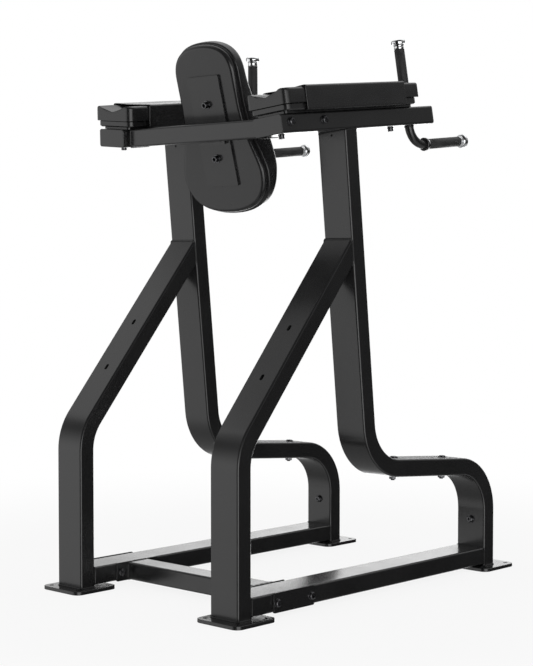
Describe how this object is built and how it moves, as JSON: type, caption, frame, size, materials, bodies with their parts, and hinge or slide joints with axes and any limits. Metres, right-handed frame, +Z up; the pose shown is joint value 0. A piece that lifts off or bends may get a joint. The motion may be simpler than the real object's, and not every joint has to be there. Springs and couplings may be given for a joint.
{
  "type": "vertical knee raise station",
  "caption": "Free-standing vertical knee raise and dip station: bent steel tube side frames with foot steps, a reclined backrest, padded elbow rests with grips, and forward dip handles.",
  "frame": {"origin": "centre of the footprint on the floor", "axes": "+Z up, the user faces -Y with the backrest behind them, +X is the user's left"},
  "size_m": [0.772, 1.2, 1.5453],
  "materials": {
    "powder_coat": "satin",
    "vinyl": "satin",
    "plastic": "matte",
    "grip_rubber": "matte",
    "chrome": "polished",
    "fastener": "satin"
  },
  "bodies": {
    "root": {"front_post_left": "powder_coat", "rear_leg_left": "powder_coat", "base_rail_left": "powder_coat", "splice_plate_left": "powder_coat", "foot_plate_front_left": "powder_coat", "foot_plate_rear_left": "powder_coat", "arm_left": "powder_coat", "handle_bar_left": "powder_coat", "arm_cap_left": "plastic", "elbow_pad_board_left": "plastic", "elbow_pad_cushion_left": "vinyl", "elbow_pad_sleeve_left": "vinyl", "grip_vertical_left": "grip_rubber", "grip_dip_left": "grip_rubber", "grip_cap_vertical_left": "chrome", "grip_cap_dip_left": "chrome", "grip_ring_left": "chrome", "step_bolt_left_1": "fastener", "step_bolt_left_2": "fastener", "front_leg_bolt_left": "fastener", "base_bolt_left_front": "fastener", "base_bolt_left_rear": "fastener", "arm_bolt_left_rear": "fastener", "arm_bolt_left_front": "fastener", "pad_bolt_left_rear": "fastener", "pad_bolt_left_front": "fastener", "front_post_right": "powder_coat", "rear_leg_right": "powder_coat", "base_rail_right": "powder_coat", "splice_plate_right": "powder_coat", "foot_plate_front_right": "powder_coat", "foot_plate_rear_right": "powder_coat", "arm_right": "powder_coat", "handle_bar_right": "powder_coat", "arm_cap_right": "plastic", "elbow_pad_board_right": "plastic", "elbow_pad_cushion_right": "vinyl", "elbow_pad_sleeve_right": "vinyl", "grip_vertical_right": "grip_rubber", "grip_dip_right": "grip_rubber", "grip_cap_vertical_right": "chrome", "grip_cap_dip_right": "chrome", "grip_ring_right": "chrome", "step_bolt_right_1": "fastener", "step_bolt_right_2": "fastener", "front_leg_bolt_right": "fastener", "base_bolt_right_front": "fastener", "base_bolt_right_rear": "fastener", "arm_bolt_right_rear": "fastener", "arm_bolt_right_front": "fastener", "pad_bolt_right_rear": "fastener", "pad_bolt_right_front": "fastener", "base_crossbar": "powder_coat", "top_crossbar": "powder_coat", "backrest_mount": "powder_coat", "backrest_board": "plastic", "backrest_cushion": "vinyl", "backrest_bolt_lower": "fastener", "backrest_bolt_upper": "fastener"}
  },
  "joints": []
}
